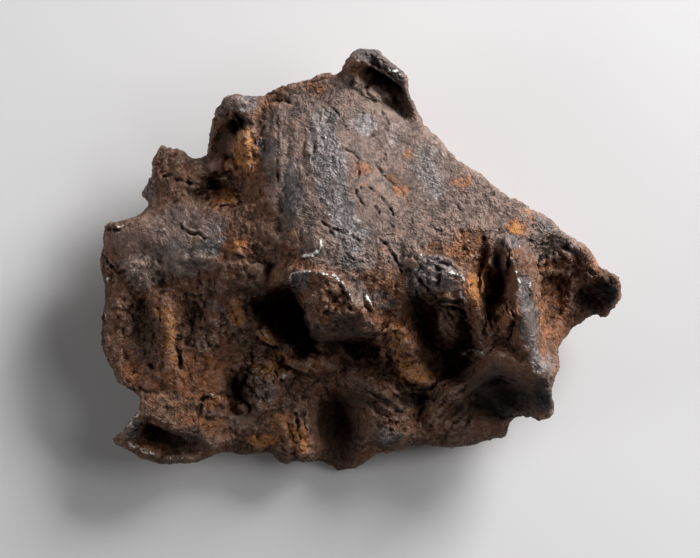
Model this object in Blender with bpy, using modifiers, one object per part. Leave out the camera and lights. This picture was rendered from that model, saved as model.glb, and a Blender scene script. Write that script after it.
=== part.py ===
"""An iron meteorite fragment: one torn and rusted lump of metal, resting on three worn spots.

Every plan position below is (u, v) on the drawing's own grid, whose step is the fragment's
length over the number of steps it spans. u runs to the right and v towards the viewer, down
the sheet. Heights are in millimetres above the surface that the fragment lies on.

The lump is made in four stages: the torn outline is cut out as a slab, the slab's two faces
are raised into the upper and the lower relief, hollows are cut under the overhanging lips,
and the whole is thinned out to flat facets and stood on its three resting spots.
"""

import math

import bmesh
import bpy
import numpy as np
from mathutils import Matrix, Vector, noise

MM = 0.001
LENGTH = 0.200  # the fragment's real length, along X
GRID_LENGTH = 523  # the same length, in plan steps
STEP = LENGTH / GRID_LENGTH
GRID_ORIGIN = (361.0, 261.0)  # the plan position that the sketching origin stands on

SLAB_HEIGHT = 0.018  # of the slab that the relief is raised from
SKETCH_VOXEL = 0.0015  # mesh spacing while the relief is raised
SCULPT_VOXEL = 0.0011  # mesh spacing while the hollows are cut
EDGE_THICKNESS = 4.5  # of the torn edge, mm
EDGE_SPREAD = 1.9  # how fast the lump thickens inwards from that edge, mm per mm
REACH = 9.0  # how far a crest, gully or pit changes the ground around it, mm
WALL = 4.0  # least thickness of the metal under a hollow, mm
CLEARANCE = 2.5  # of the underside above the surface between the resting spots, mm
RESTING_DEPTH = 1.6  # how far the resting spots are worn away, mm
RESTING_FLARE = 9.0  # how far a resting spot rises by its radius, mm
CRUMB = 0.0005  # edges of the worn flats that are shorter than this are welded up
WANDER = 0.005  # how far the thumbprints' outlines stray from true ovals
WANDER_SCALE = 0.018  # over what distance they stray
WANDER_SEED = 7  # which way they stray
SWELL = 0.00055  # height of the broad unevenness of the skin, and the distance it spans
SWELL_SIZE = 0.022
SKIN = 0.00028  # the same for its knobbly unevenness
SKIN_SIZE = 0.0063
FACETS = 9600  # triangles left in the finished solid

# The torn outline seen from above, clockwise from the root of the upper lip.
OUTLINE = [
    # upper lip, then the long smooth edge down to the right
    (346, 71), (345, 62), (350, 54), (358, 49), (368, 47), (378, 51), (388, 59), (398, 66),
    (406, 72), (409, 81), (408, 92), (413, 102), (421, 115), (430, 130), (447, 146),
    (455, 156), (468, 164), (480, 171), (490, 181), (503, 194), (508, 195), (519, 200),
    (531, 207), (541, 210), (552, 219), (563, 230), (573, 239), (584, 244), (593, 253), (600, 267),
    # knuckle at the right-hand end, with the splinter that hangs from it
    (608, 269), (616, 274), (622, 284), (621, 294), (614, 304), (611, 311), (609, 319),
    (603, 318), (604, 310), (592, 312), (586, 317), (575, 323), (570, 330), (563, 338),
    # blade end and lower block
    (560, 352), (556, 368), (551, 379), (552, 394), (554, 407), (550, 416), (541, 420),
    (530, 417), (519, 413), (513, 416), (511, 425), (507, 434), (500, 439), (489, 440),
    (478, 442), (465, 445), (456, 447), (448, 446), (440, 447), (434, 443), (422, 442),
    # ragged foot
    (411, 445), (398, 449), (385, 451), (375, 450), (368, 459), (360, 466), (350, 471),
    (344, 470), (338, 475), (333, 470), (329, 462), (318, 460), (300, 461), (293, 460),
    (286, 465), (278, 464), (276, 457), (270, 450), (262, 450), (250, 452), (244, 455),
    (238, 451), (228, 448),
    # curled lower left lip and the point it ends in
    (216, 452), (206, 458), (196, 462), (180, 461), (165, 460), (150, 457), (138, 453),
    (125, 448), (113, 441), (106, 436), (115, 433), (124, 429), (133, 418), (139, 408),
    (139, 396), (134, 389), (121, 384), (115, 376), (109, 362), (103, 352), (101, 335),
    (101, 312), (105, 297), (106, 285), (103, 275), (100, 262), (101, 248), (104, 238),
    (101, 230), (104, 222), (109, 219), (120, 219), (130, 217), (145, 209),
    # prong and spur
    (151, 203), (153, 198), (148, 195), (144, 198), (140, 194), (141, 188), (147, 181),
    (152, 173), (154, 165), (153, 157), (155, 149), (160, 144), (167, 147), (173, 147),
    (178, 145), (183, 149), (190, 156), (198, 160), (201, 155), (208, 155),
    # upper left fold and the upper edge
    (209, 143), (211, 131), (213, 118), (217, 107), (222, 99), (228, 94), (236, 92),
    (244, 94), (253, 96), (261, 94), (272, 89), (290, 83), (304, 79), (318, 75), (326, 72),
    (333, 71), (340, 74),
]

# Spot heights of the upper side, (u, v, mm), before ridges and hollows are laid on it.
UPPER_SPOTS = [
    # shield: the broad smooth face, a plane that leans a little to the right
    (300, 84, 43), (325, 76, 43), (350, 80, 46), (370, 84, 45), (395, 108, 47), (418, 120, 47),
    (447, 148, 47), (480, 173, 47), (505, 197, 45), (531, 208, 43), (552, 220, 41),
    (583, 246, 36), (600, 268, 32), (340, 108, 50), (340, 130, 54), (380, 130, 50),
    (350, 180, 58), (390, 180, 54), (430, 180, 51), (470, 196, 49), (512, 222, 46),
    (545, 232, 42), (350, 240, 60), (332, 264, 61), (400, 240, 57), (400, 268, 56),
    (372, 288, 56), (395, 298, 51), (432, 258, 56), (456, 264, 54), (450, 236, 55),
    (482, 235, 51), (470, 258, 51), (430, 210, 53), (370, 268, 59),
    # its left-hand shoulder, and the trough beside it
    (306, 108, 50), (308, 130, 54), (310, 155, 57), (312, 185, 59), (313, 215, 60),
    (312, 242, 60), (309, 262, 58), (280, 112, 49), (280, 145, 53), (281, 180, 55),
    (281, 215, 55), (280, 245, 53), (278, 266, 46),
    # upper left fold, the ridge beside it and the prong
    (234, 96, 44), (222, 104, 42), (214, 125, 34), (211, 148, 30), (226, 146, 33),
    (250, 104, 45), (262, 97, 43), (285, 89, 43), (243, 148, 36), (258, 132, 47),
    (260, 156, 49), (262, 186, 50), (240, 180, 45), (222, 172, 40), (202, 168, 37),
    (190, 160, 33), (172, 162, 33), (160, 150, 29), (154, 176, 31), (143, 192, 26),
    (176, 188, 36),
    # left flap
    (200, 202, 41), (232, 205, 46), (254, 222, 50), (252, 250, 47), (262, 278, 42),
    (230, 285, 40), (200, 270, 40), (180, 240, 41), (210, 240, 44), (150, 228, 37),
    (122, 223, 32), (104, 226, 28), (104, 250, 28), (130, 258, 35), (158, 268, 38),
    (110, 284, 29), (130, 296, 34), (103, 318, 27), (114, 340, 28), (136, 328, 30),
    (152, 316, 33), (167, 302, 36), (172, 330, 33), (194, 334, 34), (214, 320, 35),
    (236, 312, 36), (250, 330, 32), (268, 346, 26), (166, 355, 31), (150, 366, 29),
    (120, 368, 26), (134, 384, 25), (182, 380, 29), (212, 368, 29), (232, 396, 25),
    (192, 408, 29), (160, 410, 29), (144, 402, 28), (216, 420, 25), (240, 424, 22),
    # rubble below the shield and the ragged foot
    (284, 352, 19), (302, 364, 21), (330, 362, 21), (350, 376, 19), (298, 396, 19),
    (280, 388, 21), (320, 412, 13), (331, 442, 8), (345, 420, 10), (300, 430, 18),
    (298, 450, 14), (265, 438, 18), (250, 448, 15), (235, 442, 16), (280, 458, 9),
    (338, 470, 5), (356, 462, 9), (365, 445, 14), (386, 440, 17), (374, 420, 19),
    (400, 412, 18), (402, 436, 18), (415, 425, 21), (430, 438, 17), (395, 320, 43),
    (400, 348, 33), (384, 345, 33), (408, 380, 22), (426, 384, 20), (380, 372, 25),
    # right-hand side: gully, blade, inner valley and knuckle
    (440, 385, 14), (490, 370, 36), (512, 386, 29), (530, 396, 30), (482, 392, 25),
    (460, 412, 24), (456, 432, 20), (490, 430, 18), (505, 424, 16), (446, 442, 15),
    (480, 440, 12), (549, 398, 38), (550, 412, 30),
    (516, 410, 20), (532, 415, 22), (478, 300, 45), (487, 280, 42),
    (494, 240, 46), (556, 254, 38), (550, 275, 34), (546, 300, 30), (551, 325, 27),
    (560, 336, 24), (572, 300, 29), (578, 282, 32), (590, 264, 33), (596, 290, 26),
    (585, 308, 22), (610, 276, 32), (617, 286, 31), (611, 300, 25), (576, 321, 19),
    (556, 358, 30), (553, 374, 36), (606, 315, 20),
]

# Spot heights of the underside, which comes down to the surface in three places only.
LOWER_SPOTS = [
    (215, 235, 9), (222, 368, 2), (250, 300, 8), (330, 420, 3), (325, 440, 2),
    (300, 440, 4), (260, 410, 6), (300, 330, 7), (360, 300, 6), (420, 330, 6),
    (495, 350, 3), (508, 340, 1), (530, 320, 4), (470, 300, 6), (380, 200, 8),
    (336, 155, 5), (322, 138, 2), (300, 118, 8), (400, 130, 14), (450, 200, 14),
    (500, 240, 12), (560, 270, 12), (600, 290, 16), (150, 260, 17), (120, 320, 16),
    (160, 400, 13), (110, 436, 15), (200, 440, 8), (180, 170, 19), (235, 110, 19),
    (380, 70, 24), (280, 95, 18), (540, 400, 20), (470, 430, 8), (400, 420, 5),
    (210, 340, 9), (270, 200, 7), (400, 380, 5),
]
# The three resting spots, (u, v, radius in steps).
RESTING_SPOTS = [(322, 138, 22), (222, 368, 22), (508, 340, 22)]

# Plates that stand above the ground around them. The height is a plane through three spots,
# and the flank falls away outside the outline, in millimetres per millimetre.
PLATES = {
    "knob": dict(
        outline=[(293, 273), (302, 268), (330, 270), (345, 280), (354, 296), (366, 308),
                 (372, 322), (368, 336), (352, 345), (326, 346), (309, 338), (302, 320),
                 (300, 300)],
        spots=[(302, 272, 59), (345, 284, 59), (326, 338, 43)],
        slope=5.0,
    ),
    "second_lobe": dict(
        outline=[(416, 256), (424, 257), (436, 261), (450, 265), (460, 272), (466, 284),
                 (466, 296), (460, 303), (446, 302), (430, 297), (415, 291), (409, 282),
                 (411, 270)],
        spots=[(420, 258, 58), (460, 272, 55), (440, 300, 49)],
        slope=4.5,
    ),
    "spongy_knob": dict(
        outline=[(236, 366), (252, 362), (268, 370), (276, 384), (276, 402), (268, 412),
                 (256, 406), (246, 394), (236, 382)],
        spots=[(240, 370, 33), (268, 374, 31), (266, 408, 27)],
        slope=2.6,
    ),
    "lower_block": dict(
        outline=[(436, 422), (470, 417), (500, 422), (506, 432), (480, 440), (446, 444)],
        spots=[(446, 426, 21), (500, 424, 20), (470, 442, 13)],
        slope=1.8,
    ),
}

# Quarries are the opposite: they are sunk to a plane through three spots, and their walls
# climb outside the outline.
QUARRIES = {
    "cavity": dict(
        outline=[(248, 304), (264, 304), (279, 297), (289, 295), (295, 304), (297, 322),
                 (303, 341), (314, 350), (300, 348), (287, 342), (276, 333), (265, 320)],
        spots=[(258, 306, 17), (292, 308, 10), (306, 346, 10)],
        slope=6.0,
    ),
    "lobe_cavity": dict(
        outline=[(412, 300), (426, 305), (442, 309), (459, 310), (465, 325), (470, 340),
                 (476, 352), (468, 360), (460, 370), (448, 376), (434, 374), (428, 364),
                 (423, 348), (416, 334), (409, 316)],
        spots=[(418, 308, 27), (456, 314, 22), (446, 370, 12)],
        slope=5.0,
    ),
}

# Crests, as (u, v, mm) along the top, with the fall of each side in mm per mm. Left and right
# are as seen by someone who walks along the crest.
CRESTS = {
    "upper_lip": dict(
        path=[(349, 70, 44), (350, 61, 48), (357, 54, 52), (367, 51, 55), (378, 56, 57),
              (389, 64, 57), (401, 74, 55)],
        left=3.0, right=3.4, width=2.2,
    ),
    "lip_tail": dict(
        path=[(405, 78, 53), (406, 88, 48), (411, 103, 44), (419, 116, 40)],
        left=3.0, right=3.0, width=0.9,
    ),
    "upper_edge": dict(
        path=[(262, 97, 44), (280, 91, 46), (300, 84, 47), (320, 78, 47), (334, 75, 46)],
        left=1.5, right=0.9, width=0.8,
    ),
    "fold": dict(
        path=[(212, 140, 33), (214, 120, 38), (221, 105, 43), (230, 98, 47), (242, 99, 49),
              (250, 106, 49)],
        left=2.5, right=1.0, width=1.2,
    ),
    "pit_wall": dict(
        path=[(249, 112, 49), (254, 128, 49), (258, 148, 49), (262, 172, 51), (263, 200, 51)],
        left=0.7, right=0.9, width=0.6,
    ),
    "knob_rim": dict(
        path=[(292, 281, 57), (293, 274, 59), (302, 271, 61), (318, 272, 63), (332, 276, 63),
              (343, 282, 62), (351, 294, 60), (359, 306, 58), (368, 320, 53)],
        left=1.2, right=1.3, width=0.5,
    ),
    "second_rim": dict(
        path=[(418, 256, 61), (428, 261, 60), (444, 264, 58), (458, 270, 57), (466, 282, 55),
              (467, 298, 53), (471, 318, 50), (476, 334, 46), (482, 350, 43)],
        left=1.5, right=2.6, width=0.6,
    ),
    "blade": dict(
        path=[(505, 230, 49), (510, 244, 53), (515, 262, 56), (518, 285, 57), (519, 305, 57),
              (523, 330, 54), (530, 352, 51), (540, 368, 50), (548, 379, 48), (550, 394, 45),
              (548, 410, 39)],
        left=0.9, right=2.4, width=0.7,
    ),
    "brow": dict(
        path=[(484, 351, 44), (498, 352, 46), (512, 357, 48), (526, 365, 50), (541, 374, 50)],
        left=1.8, right=2.2, width=0.5,
    ),
    "arc": dict(
        path=[(494, 353, 45), (481, 358, 43), (469, 368, 39), (457, 380, 35), (444, 394, 31),
              (434, 412, 26), (427, 430, 21)],
        left=0.9, right=2.2, width=0.5,
    ),
    "flap_ridge": dict(
        path=[(150, 232, 38), (175, 240, 42), (200, 243, 45), (225, 240, 47), (246, 238, 49)],
        left=0.4, right=0.4, width=1.5,
    ),
    "flap_swell": dict(
        path=[(163, 300, 37), (168, 325, 35), (170, 350, 33), (178, 376, 31)],
        left=0.5, right=0.5, width=1.5,
    ),
    "cavity_sill": dict(
        path=[(222, 300, 37), (240, 300, 36), (254, 308, 34), (264, 321, 31), (274, 335, 28),
              (287, 346, 26), (306, 354, 24), (326, 360, 23)],
        left=3.0, right=0.7, width=0.6,
    ),
    "curl_point": dict(
        path=[(109, 436, 20), (121, 432, 24), (130, 424, 27), (138, 412, 29), (142, 404, 29)],
        left=2.0, right=1.6, width=0.7,
    ),
    "curl_lip": dict(
        path=[(118, 441, 20), (132, 446, 22), (150, 453, 23), (172, 457, 23), (194, 457, 22),
              (206, 452, 20)],
        left=2.2, right=2.0, width=0.9,
    ),
    "flap_broken_edge": dict(
        path=[(144, 411, 30), (158, 415, 31), (172, 425, 32), (188, 432, 31), (204, 438, 28),
              (216, 440, 25)],
        left=0.6, right=2.6, width=0.6,
    ),
    "foot_crest": dict(
        path=[(352, 378, 25), (368, 386, 26), (384, 394, 27), (399, 406, 25)],
        left=1.0, right=1.2, width=0.4,
    ),
    "foot_knot": dict(
        path=[(370, 410, 22), (380, 420, 25), (392, 428, 26), (404, 432, 24)],
        left=0.9, right=1.2, width=0.8,
    ),
    "foot_pillar": dict(
        path=[(296, 412, 23), (299, 430, 22), (301, 450, 19)],
        left=0.9, right=1.4, width=1.2,
    ),
    "knuckle": dict(
        path=[(596, 268, 33), (606, 274, 36), (615, 281, 36), (617, 292, 32)],
        left=1.2, right=1.6, width=1.6,
    ),
}

# Hollows in the upper side: the floor height and how steeply the walls climb from it.
GULLIES = {
    "lip_trough": dict(
        path=[(362, 66, 41), (370, 72, 36), (382, 78, 33), (394, 88, 31), (403, 99, 32),
              (412, 111, 34)],
        wall=2.2, width=2.0,
    ),
    "side_gully": dict(
        path=[(499, 246, 44), (496, 258, 38), (493, 275, 33), (491, 295, 31), (494, 315, 33),
              (502, 335, 38)],
        wall=1.7, width=0.7,
    ),
    "curl_groove": dict(
        path=[(138, 431, 15), (150, 437, 12), (170, 444, 11), (190, 449, 12), (201, 447, 15)],
        wall=2.4, width=2.6,
    ),
    "trough_line": dict(
        path=[(277, 128, 49), (278, 160, 51), (279, 195, 52), (280, 230, 51)],
        wall=1.2, width=0.2,
    ),
    "knuckle_hollow": dict(
        path=[(586, 296, 19), (598, 294, 21), (606, 292, 24)],
        wall=1.6, width=1.6,
    ),
}
PITS = {
    "fold_pit": dict(centre=(239, 124), radii=(7, 12), turn=-8, floor=29, wall=2.6),
    "fold_recess": dict(centre=(244, 150), radii=(6, 14), turn=-10, floor=32, wall=0.9),
    "pocket": dict(centre=(213, 185), radii=(12, 4.5), turn=12, floor=27, wall=2.2),
    "dark_face": dict(centre=(508, 396), radii=(36, 18), turn=10, floor=17, wall=1.3),
    "foot_hollow": dict(centre=(331, 424), radii=(18, 26), turn=4, floor=5, wall=1.5),
    "rim_hollow": dict(centre=(240, 390), radii=(5, 14), turn=-28, floor=19, wall=1.6),
    "flap_dent": dict(centre=(138, 330), radii=(8, 26), turn=-10, floor=28, wall=0.4),
    "flap_scoop": dict(centre=(190, 330), radii=(8, 18), turn=-8, floor=31, wall=0.5),
    "inner_valley": dict(centre=(552, 306), radii=(14, 30), turn=-8, floor=23, wall=0.9),
    "orange_hollow": dict(centre=(412, 378), radii=(14, 10), turn=0, floor=20, wall=0.8),
    "small_eye": dict(centre=(391, 357), radii=(4, 7), turn=-12, floor=26, wall=1.6),
    "arc_scoop": dict(centre=(418, 402), radii=(22, 7), turn=26, floor=14, wall=1.0),
    "under_knob_scoop": dict(centre=(356, 372), radii=(24, 15), turn=-20, floor=12, wall=0.9),
}

# Thumbprint hollows of the underside: (u, v, long and short radius in steps, turn, mm deep).
THUMBPRINTS = [
    (168, 236, 40, 30, 20, 6), (146, 300, 40, 30, 75, 7), (165, 378, 44, 32, -20, 7),
    (226, 306, 46, 36, 40, 8), (236, 388, 40, 28, 10, 6), (284, 240, 46, 34, 60, 8),
    (276, 168, 34, 26, 100, 6), (346, 208, 52, 36, 15, 8), (388, 140, 40, 30, 120, 7),
    (302, 362, 36, 30, 30, 5), (372, 352, 46, 32, -35, 8), (388, 418, 34, 24, 0, 6),
    (424, 258, 56, 38, -30, 8), (440, 348, 40, 34, 50, 6), (462, 404, 36, 24, 10, 6),
    (496, 276, 44, 30, -50, 8), (556, 300, 38, 26, 60, 6), (456, 182, 42, 26, -50, 6),
    (362, 286, 38, 28, 80, 6), (215, 150, 30, 20, 30, 5), (240, 215, 26, 20, 0, 5),
    (575, 345, 24, 16, 60, 4), (522, 402, 30, 20, 0, 5), (350, 96, 30, 20, 20, 5),
    (318, 300, 24, 20, 0, 5), (400, 300, 26, 20, 45, 5),
]

# Hollows cut in under an overhang: the middle (u, v, mm), the radii in mm, the turn about
# the upright and the tilt towards the horizontal.
UNDERCUTS = {
    "under_knob": dict(centre=(292, 322, 20), radii=(7.5, 9.0, 11), turn=12, tilt=-16),
    "under_second_lobe": dict(centre=(441, 318, 33), radii=(8.5, 8.0, 10), turn=0, tilt=0),
    "under_upper_lip": dict(centre=(385, 74, 43), radii=(8.5, 3.8, 7.0), turn=-36, tilt=0),
    "under_fold": dict(centre=(238, 119, 36), radii=(3.2, 5.0, 6.5), turn=8, tilt=8),
    "under_flap": dict(centre=(170, 434, 20), radii=(12.0, 4.6, 5.4), turn=-14, tilt=-8),
    "under_pocket": dict(centre=(214, 182, 31), radii=(4.6, 2.4, 3.4), turn=-8, tilt=0),
    "under_spongy_knob": dict(centre=(239, 388, 24), radii=(3.2, 5.2, 4.6), turn=28, tilt=0),
}


def clear_scene():
    for old in list(bpy.data.objects):
        bpy.data.objects.remove(old)


def plan_x(u):
    return (u - GRID_ORIGIN[0]) * STEP


def plan_y(v):
    return (GRID_ORIGIN[1] - v) * STEP


def plan_points(points):
    """The (u, v) part of some plan points, in metres."""
    grid = np.array([point[:2] for point in points], float)
    return np.column_stack([plan_x(grid[:, 0]), plan_y(grid[:, 1])])


def heights(points):
    return np.array([point[2] for point in points], float) * MM


# ---------------------------------------------------------------- shapes on the plan

def to_path(places, path, closed=False):
    """Each place's distance to a path, where along it the nearest point is, and its side."""
    corners = np.vstack([path, path[:1]]) if closed else path
    best = np.full(len(places), np.inf)
    where = np.zeros(len(places))
    side = np.ones(len(places))
    for i, (start, end) in enumerate(zip(corners[:-1], corners[1:])):
        run = end - start
        reach = places - start
        share = np.clip(reach @ run / (run @ run), 0, 1)
        gap = np.linalg.norm(reach - share[:, None] * run, axis=1)
        nearer = gap < best
        best[nearer] = gap[nearer]
        where[nearer] = i + share[nearer]
        cross = run[0] * reach[:, 1] - run[1] * reach[:, 0]
        side[nearer] = np.sign(cross[nearer])
    return best, where, side


def inside(places, outline):
    """True for each place that lies inside a closed outline."""
    within = np.zeros(len(places), bool)
    for start, end in zip(outline, np.roll(outline, -1, axis=0)):
        crosses = (start[1] > places[:, 1]) != (end[1] > places[:, 1])
        rise = end[1] - start[1]
        at = start[0] + (places[:, 1] - start[1]) * (end[0] - start[0]) / (rise or 1)
        within ^= crosses & (places[:, 0] < at)
    return within


def surface_through(spots, softness):
    """A smooth height function through some spot heights: a bent thin plate. The softer it
    is, the less closely it follows them."""
    at, level = plan_points(spots) / LENGTH, heights(spots)
    count = len(at)

    def bend(squared):
        return 0.5 * squared * np.log(np.maximum(squared, 1e-12))

    gaps = ((at[:, None] - at[None]) ** 2).sum(2)
    flat = np.column_stack([np.ones(count), at])
    system = np.zeros((count + 3, count + 3))
    system[:count, :count] = bend(gaps) + softness * np.eye(count)
    system[:count, count:] = flat
    system[count:, :count] = flat.T
    weights = np.linalg.solve(system, np.concatenate([level, np.zeros(3)]))

    def height(places):
        scaled = places / LENGTH
        reach = ((scaled[:, None] - at[None]) ** 2).sum(2)
        tilt = np.column_stack([np.ones(len(scaled)), scaled])
        return bend(reach) @ weights[:count] + tilt @ weights[count:]

    return height


def soft_max(a, b, blend):
    """The higher of two surfaces, with the crease between them rounded over."""
    mix = np.clip(0.5 + 0.5 * (a - b) / blend, 0, 1)
    return b + (a - b) * mix + blend * mix * (1 - mix)


def soft_min(a, b, blend):
    return -soft_max(-a, -b, blend)


# ---------------------------------------------------------------- relief

def tilted_plane(places, spots):
    corners = np.column_stack([np.ones(3), plan_points(spots)])
    level, rise_x, rise_y = np.linalg.solve(corners, heights(spots))
    return level + rise_x * places[:, 0] + rise_y * places[:, 1]


def outside_of(places, outline):
    """How far each place is outside a closed outline: nothing for those inside it."""
    border = plan_points(outline)
    gap, _, _ = to_path(places, border, closed=True)
    return np.where(inside(places, border), 0, gap)


def add_plate(ground, places, outline, spots, slope):
    top = tilted_plane(places, spots) - slope * outside_of(places, outline)
    return soft_max(ground, top, 1.0 * MM)


def sink_quarry(ground, places, outline, spots, slope):
    floor = tilted_plane(places, spots) + slope * outside_of(places, outline)
    return soft_min(ground, floor, 1.0 * MM)


def along(path, where):
    """The height of a path at each place nearest to it."""
    return np.interp(where, np.arange(len(path)), heights(path))


def nearby(ground, changed, gap):
    """The changed ground near a feature, fading back to the old ground away from it."""
    fade = np.clip(2 - 2 * gap / (REACH * MM), 0, 1)
    return ground + (changed - ground) * fade * fade * (3 - 2 * fade)


def add_crest(ground, places, path, left, right, width):
    gap, where, side = to_path(places, plan_points(path))
    fall = np.where(side > 0, left, right)
    crest = along(path, where) - fall * np.maximum(gap - width * MM, 0)
    return nearby(ground, soft_max(ground, crest, 0.8 * MM), gap)


def cut_gully(ground, places, path, wall, width):
    gap, where, _ = to_path(places, plan_points(path))
    floor = along(path, where) + wall * np.maximum(gap - width * MM, 0)
    return nearby(ground, soft_min(ground, floor, 0.8 * MM), gap)


def oval_distance(places, centre, radii, turn):
    """1 on an oval's edge, 0 at its middle, and growing evenly outside it."""
    away = places - plan_points([centre])[0]
    angle = math.radians(turn)
    across = away[:, 0] * math.cos(angle) + away[:, 1] * math.sin(angle)
    up = away[:, 1] * math.cos(angle) - away[:, 0] * math.sin(angle)
    return np.hypot(across / (radii[0] * STEP), up / (radii[1] * STEP))


def cut_pit(ground, places, centre, radii, turn, floor, wall):
    """An oval hollow: bowl-shaped inside its radii, with straight walls outside them."""
    out = oval_distance(places, centre, radii, turn)
    radius = min(radii) * STEP
    gap = radius * np.maximum(out - 1, 0)
    climb = wall * (0.5 * radius * np.minimum(out, 1) ** 2 + gap)
    return nearby(ground, soft_min(ground, floor * MM + climb, 0.9 * MM), gap)


def upper_relief(places):
    ground = surface_through(UPPER_SPOTS, 1e-6)(places)
    for plate in PLATES.values():
        ground = add_plate(ground, places, **plate)
    for pit in PITS.values():
        ground = cut_pit(ground, places, **pit)
    for gully in GULLIES.values():
        ground = cut_gully(ground, places, **gully)
    for crest in CRESTS.values():
        ground = add_crest(ground, places, **crest)
    for quarry in QUARRIES.values():
        ground = sink_quarry(ground, places, **quarry)
    return ground


def wandered(places):
    """The places, each moved a few millimetres by slow noise, to make drawn ovals uneven."""
    noise.seed_set(WANDER_SEED)
    moved = np.empty_like(places)
    for i, (x, y) in enumerate(places):
        drift = noise.noise_vector(Vector((x, y, 0.3)) / WANDER_SCALE)
        moved[i] = (x + WANDER * drift.x, y + WANDER * drift.y)
    return moved


def lower_relief(places, from_edge, swell):
    """The underside: hollowed by thumbprints, thin at the torn edge, down to the surface
    at the resting spots only."""
    belly = surface_through(LOWER_SPOTS, 1e-5)(places)
    uneven = wandered(places)
    for u, v, long, short, turn, depth in THUMBPRINTS:
        out = oval_distance(uneven, (u, v), (long, short), turn)
        belly = belly + depth * MM * np.maximum(1 - out ** 2, 0)
    belly = soft_max(belly, np.full(len(places), CLEARANCE * MM), 2.0 * MM)
    skirt = swell - (EDGE_THICKNESS * MM + EDGE_SPREAD * from_edge)
    belly = soft_max(belly, skirt, 3.0 * MM)
    for u, v, radius in RESTING_SPOTS:
        out = oval_distance(places, (u, v), (radius, radius), 0)
        belly = soft_min(belly, (RESTING_FLARE * out ** 2 - RESTING_DEPTH) * MM, 1.5 * MM)
    return belly


# ---------------------------------------------------------------- mesh stages

def new_object(name, mesh):
    made = bpy.data.objects.new(name, mesh)
    bpy.context.scene.collection.objects.link(made)
    return made


def settled(obj):
    """The object's evaluated mesh in a plain new object. The old object is removed."""
    graph = bpy.context.evaluated_depsgraph_get()
    mesh = bpy.data.meshes.new_from_object(obj.evaluated_get(graph))
    mesh.transform(obj.matrix_world)
    bpy.data.objects.remove(obj)
    return new_object("lump", mesh)


def remeshed(obj, voxel):
    modifier = obj.modifiers.new("remesh", "REMESH")
    modifier.mode = "VOXEL"
    modifier.voxel_size = voxel
    return settled(obj)


def relaxed(obj, factor, repeat):
    modifier = obj.modifiers.new("relax", "SMOOTH")
    modifier.factor = factor
    modifier.iterations = repeat
    return settled(obj)


def torn_slab():
    """The outline as a flat slab with a fine, even mesh."""
    curve = bpy.data.curves.new("outline", "CURVE")
    curve.dimensions = "2D"
    curve.fill_mode = "BOTH"
    curve.extrude = SLAB_HEIGHT / 2
    spline = curve.splines.new("POLY")
    corners = plan_points(OUTLINE)
    spline.points.add(len(corners) - 1)
    for point, (x, y) in zip(spline.points, corners):
        point.co = (x, y, 0, 1)
    spline.use_cyclic_u = True
    slab = settled(new_object("outline", curve))
    welded = bmesh.new()
    welded.from_mesh(slab.data)
    bmesh.ops.remove_doubles(welded, verts=welded.verts, dist=0.00001)
    welded.to_mesh(slab.data)
    welded.free()
    return remeshed(slab, SKETCH_VOXEL)


def read_points(mesh):
    flat = np.empty(len(mesh.vertices) * 3, np.float32)
    mesh.vertices.foreach_get("co", flat)
    return flat.reshape(-1, 3).astype(float)


def write_points(mesh, points):
    mesh.vertices.foreach_set("co", points.astype(np.float32).ravel())
    mesh.update()


def raise_relief(slab):
    """Moves the slab's two faces to the upper and the lower relief, and its wall between."""
    points = read_points(slab.data)
    places = points[:, :2]
    from_edge, _, _ = to_path(places, plan_points(OUTLINE), closed=True)
    upper = upper_relief(places)
    swell = surface_through(UPPER_SPOTS, 3e-3)(places)
    lower = np.minimum(lower_relief(places, from_edge, swell), upper - WALL * MM)
    up_the_wall = np.clip(points[:, 2] / SLAB_HEIGHT + 0.5, 0, 1)
    points[:, 2] = lower + (upper - lower) * up_the_wall
    write_points(slab.data, points)
    return slab


def cut_undercut(lump, name, centre, radii, turn, tilt):
    cutter_mesh = bmesh.new()
    bmesh.ops.create_icosphere(cutter_mesh, subdivisions=4, radius=1.0)
    place = Matrix.Translation((plan_x(centre[0]), plan_y(centre[1]), centre[2] * MM))
    lean = Matrix.Rotation(math.radians(turn), 4, "Z") @ Matrix.Rotation(math.radians(tilt), 4, "Y")
    size = Matrix.Diagonal((*(radius * MM for radius in radii), 1.0))
    cutter_mesh.transform(place @ lean @ size)
    mesh = bpy.data.meshes.new(name)
    cutter_mesh.to_mesh(mesh)
    cutter_mesh.free()
    cutter = new_object(name, mesh)
    cutter.hide_render = True
    cut = lump.modifiers.new(name, "BOOLEAN")
    cut.operation = "DIFFERENCE"
    cut.object = cutter
    lump = settled(lump)
    bpy.data.objects.remove(cutter)
    return lump


def roughen(lump):
    """Breaks up the smooth forms: broad swells, then the knobbly skin of old iron."""
    mesh = lump.data
    points = read_points(mesh)
    normals = np.array([vertex.normal[:] for vertex in mesh.vertices])
    push = np.zeros(len(points))
    for size, height, octaves in ((SWELL_SIZE, SWELL, 3), (SKIN_SIZE, SKIN, 3)):
        for i, point in enumerate(points):
            push[i] += height * noise.fractal(Vector(point) / size, 0.9, 2.2, octaves)
    calm = np.clip((points[:, 2] / MM - RESTING_DEPTH) / CLEARANCE, 0, 1)
    write_points(mesh, points + normals * (push * calm)[:, None])
    return lump


def thin_out(lump):
    lump.data.calc_loop_triangles()
    thin = lump.modifiers.new("thin", "DECIMATE")
    thin.decimate_type = "COLLAPSE"
    thin.ratio = FACETS / len(lump.data.loop_triangles)
    thin.use_collapse_triangulate = True
    return settled(lump)


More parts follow.
